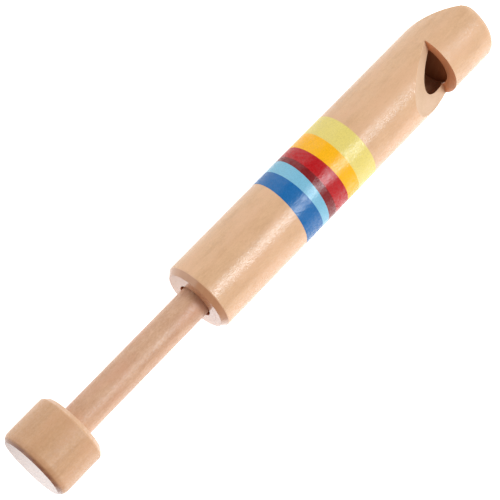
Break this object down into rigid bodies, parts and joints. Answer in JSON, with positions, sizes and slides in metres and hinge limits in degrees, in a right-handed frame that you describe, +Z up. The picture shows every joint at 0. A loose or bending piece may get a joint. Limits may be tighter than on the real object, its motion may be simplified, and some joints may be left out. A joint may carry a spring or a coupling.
{
  "type": "slide whistle",
  "caption": "Wooden slide whistle with a fipple mouthpiece, a sound window, painted bands and a plunger on a rod with a pull knob.",
  "frame": {"origin": "on the surface that the whistle lies on, under the middle of its box with the plunger drawn out as pictured", "axes": "+X along the barrel towards the mouth, +Z up through the window, +Y to the side"},
  "size_m": [0.1978, 0.024, 0.024],
  "materials": {
    "barrel_wood": "clear satin varnish over turned hardwood, with painted bands",
    "block_wood": "sanded hardwood",
    "bush_wood": "clear satin varnish over end grain",
    "rod_wood": "clear satin varnish over dowel",
    "knob_wood": "clear satin varnish over turned hardwood",
    "piston_wood": "bare turned hardwood",
    "ring_rubber": "matt moulded rubber",
    "screw_steel": "bright zinc-plated steel"
  },
  "bodies": {
    "tube_assembly": {"barrel": "barrel_wood", "fipple_block": "block_wood", "foot_bush": "bush_wood"},
    "sliding_ring": {"piston_ring": "ring_rubber"},
    "plunger": {"slide_rod": "rod_wood", "pull_knob": "knob_wood", "piston_head": "piston_wood", "piston_screw": "screw_steel"}
  },
  "joints": [
    {"name": "plunger_slide", "type": "slide", "parent": "tube_assembly", "child": "sliding_ring", "axis": [1, 0, 0], "range_m": [-0.0148, 0.0514]},
    {"name": "plunger_turn", "type": "hinge", "parent": "sliding_ring", "child": "plunger", "pos_m": [0.0033, 0, 0.012], "axis": [1, 0, 0], "continuous": true}
  ]
}
